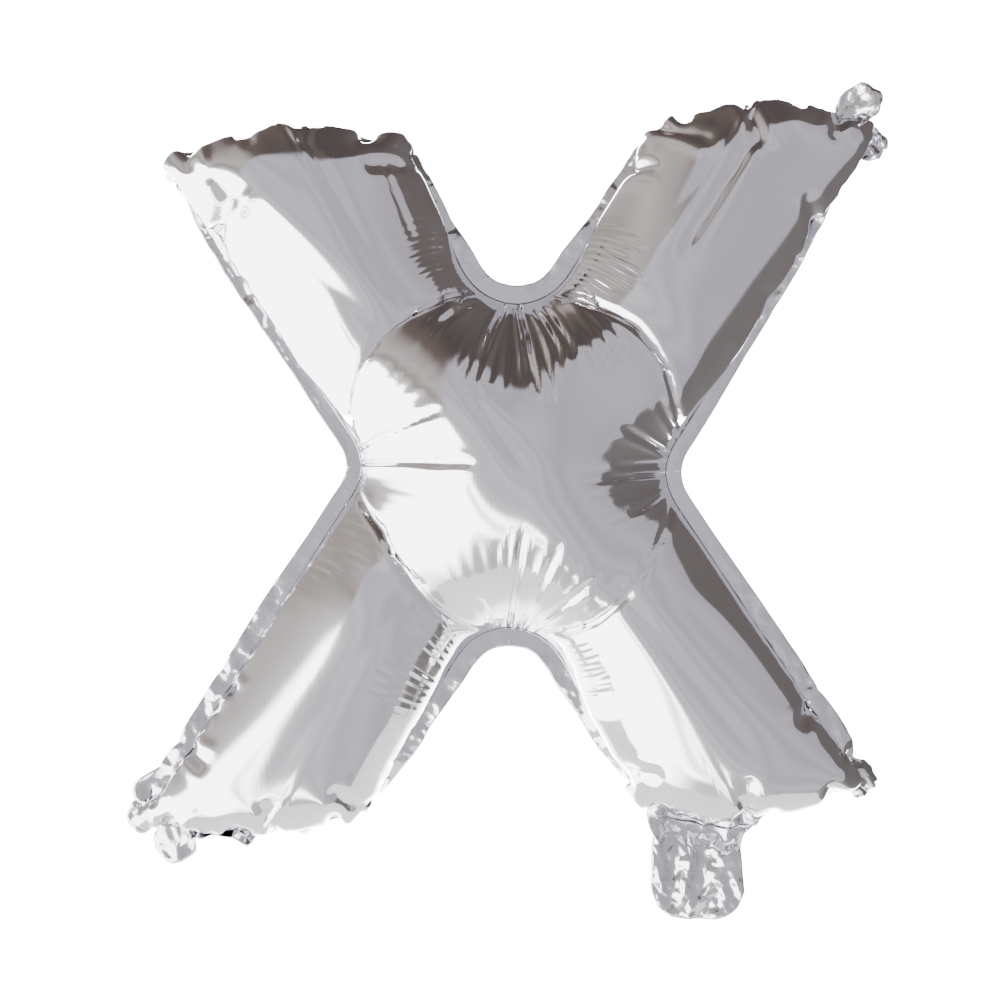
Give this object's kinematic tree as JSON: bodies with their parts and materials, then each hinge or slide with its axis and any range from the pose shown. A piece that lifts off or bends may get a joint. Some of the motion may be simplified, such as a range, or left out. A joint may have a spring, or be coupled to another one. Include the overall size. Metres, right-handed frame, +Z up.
{
  "type": "letter foil balloon",
  "caption": "Air-filled silver foil balloon in the shape of a letter X, with a flat welded margin all round and a filling tail on one leg.",
  "frame": {"origin": "middle of the letter's crossing, half-way through its depth, on the plane of the weld", "axes": "+X to the right of the letter seen from its front, +Y from the front film to the back film, +Z up the letter"},
  "size_m": [0.3822, 0.1262, 0.4159],
  "materials": {
    "foil": "mirror-bright metallised plastic film, taut where it bulges and finely pleated beside the welds",
    "welded_foil": "two films of the same foil welded flat together, crumpled and slightly duller",
    "valve_film": "thin clear plastic film with a faint yellow tint"
  },
  "bodies": {
    "root": {"front_film": "foil", "back_film": "foil", "top_notch_margin": "welded_foil", "right_notch_margin": "welded_foil", "bottom_notch_margin": "welded_foil", "left_notch_margin": "welded_foil", "upper_right_tip_margin": "welded_foil", "lower_right_tip_margin": "welded_foil", "lower_left_tip_margin": "welded_foil", "upper_left_tip_margin": "welded_foil", "tail_front_ply": "welded_foil", "tail_back_ply": "welded_foil", "valve_sleeve": "valve_film"}
  },
  "joints": []
}
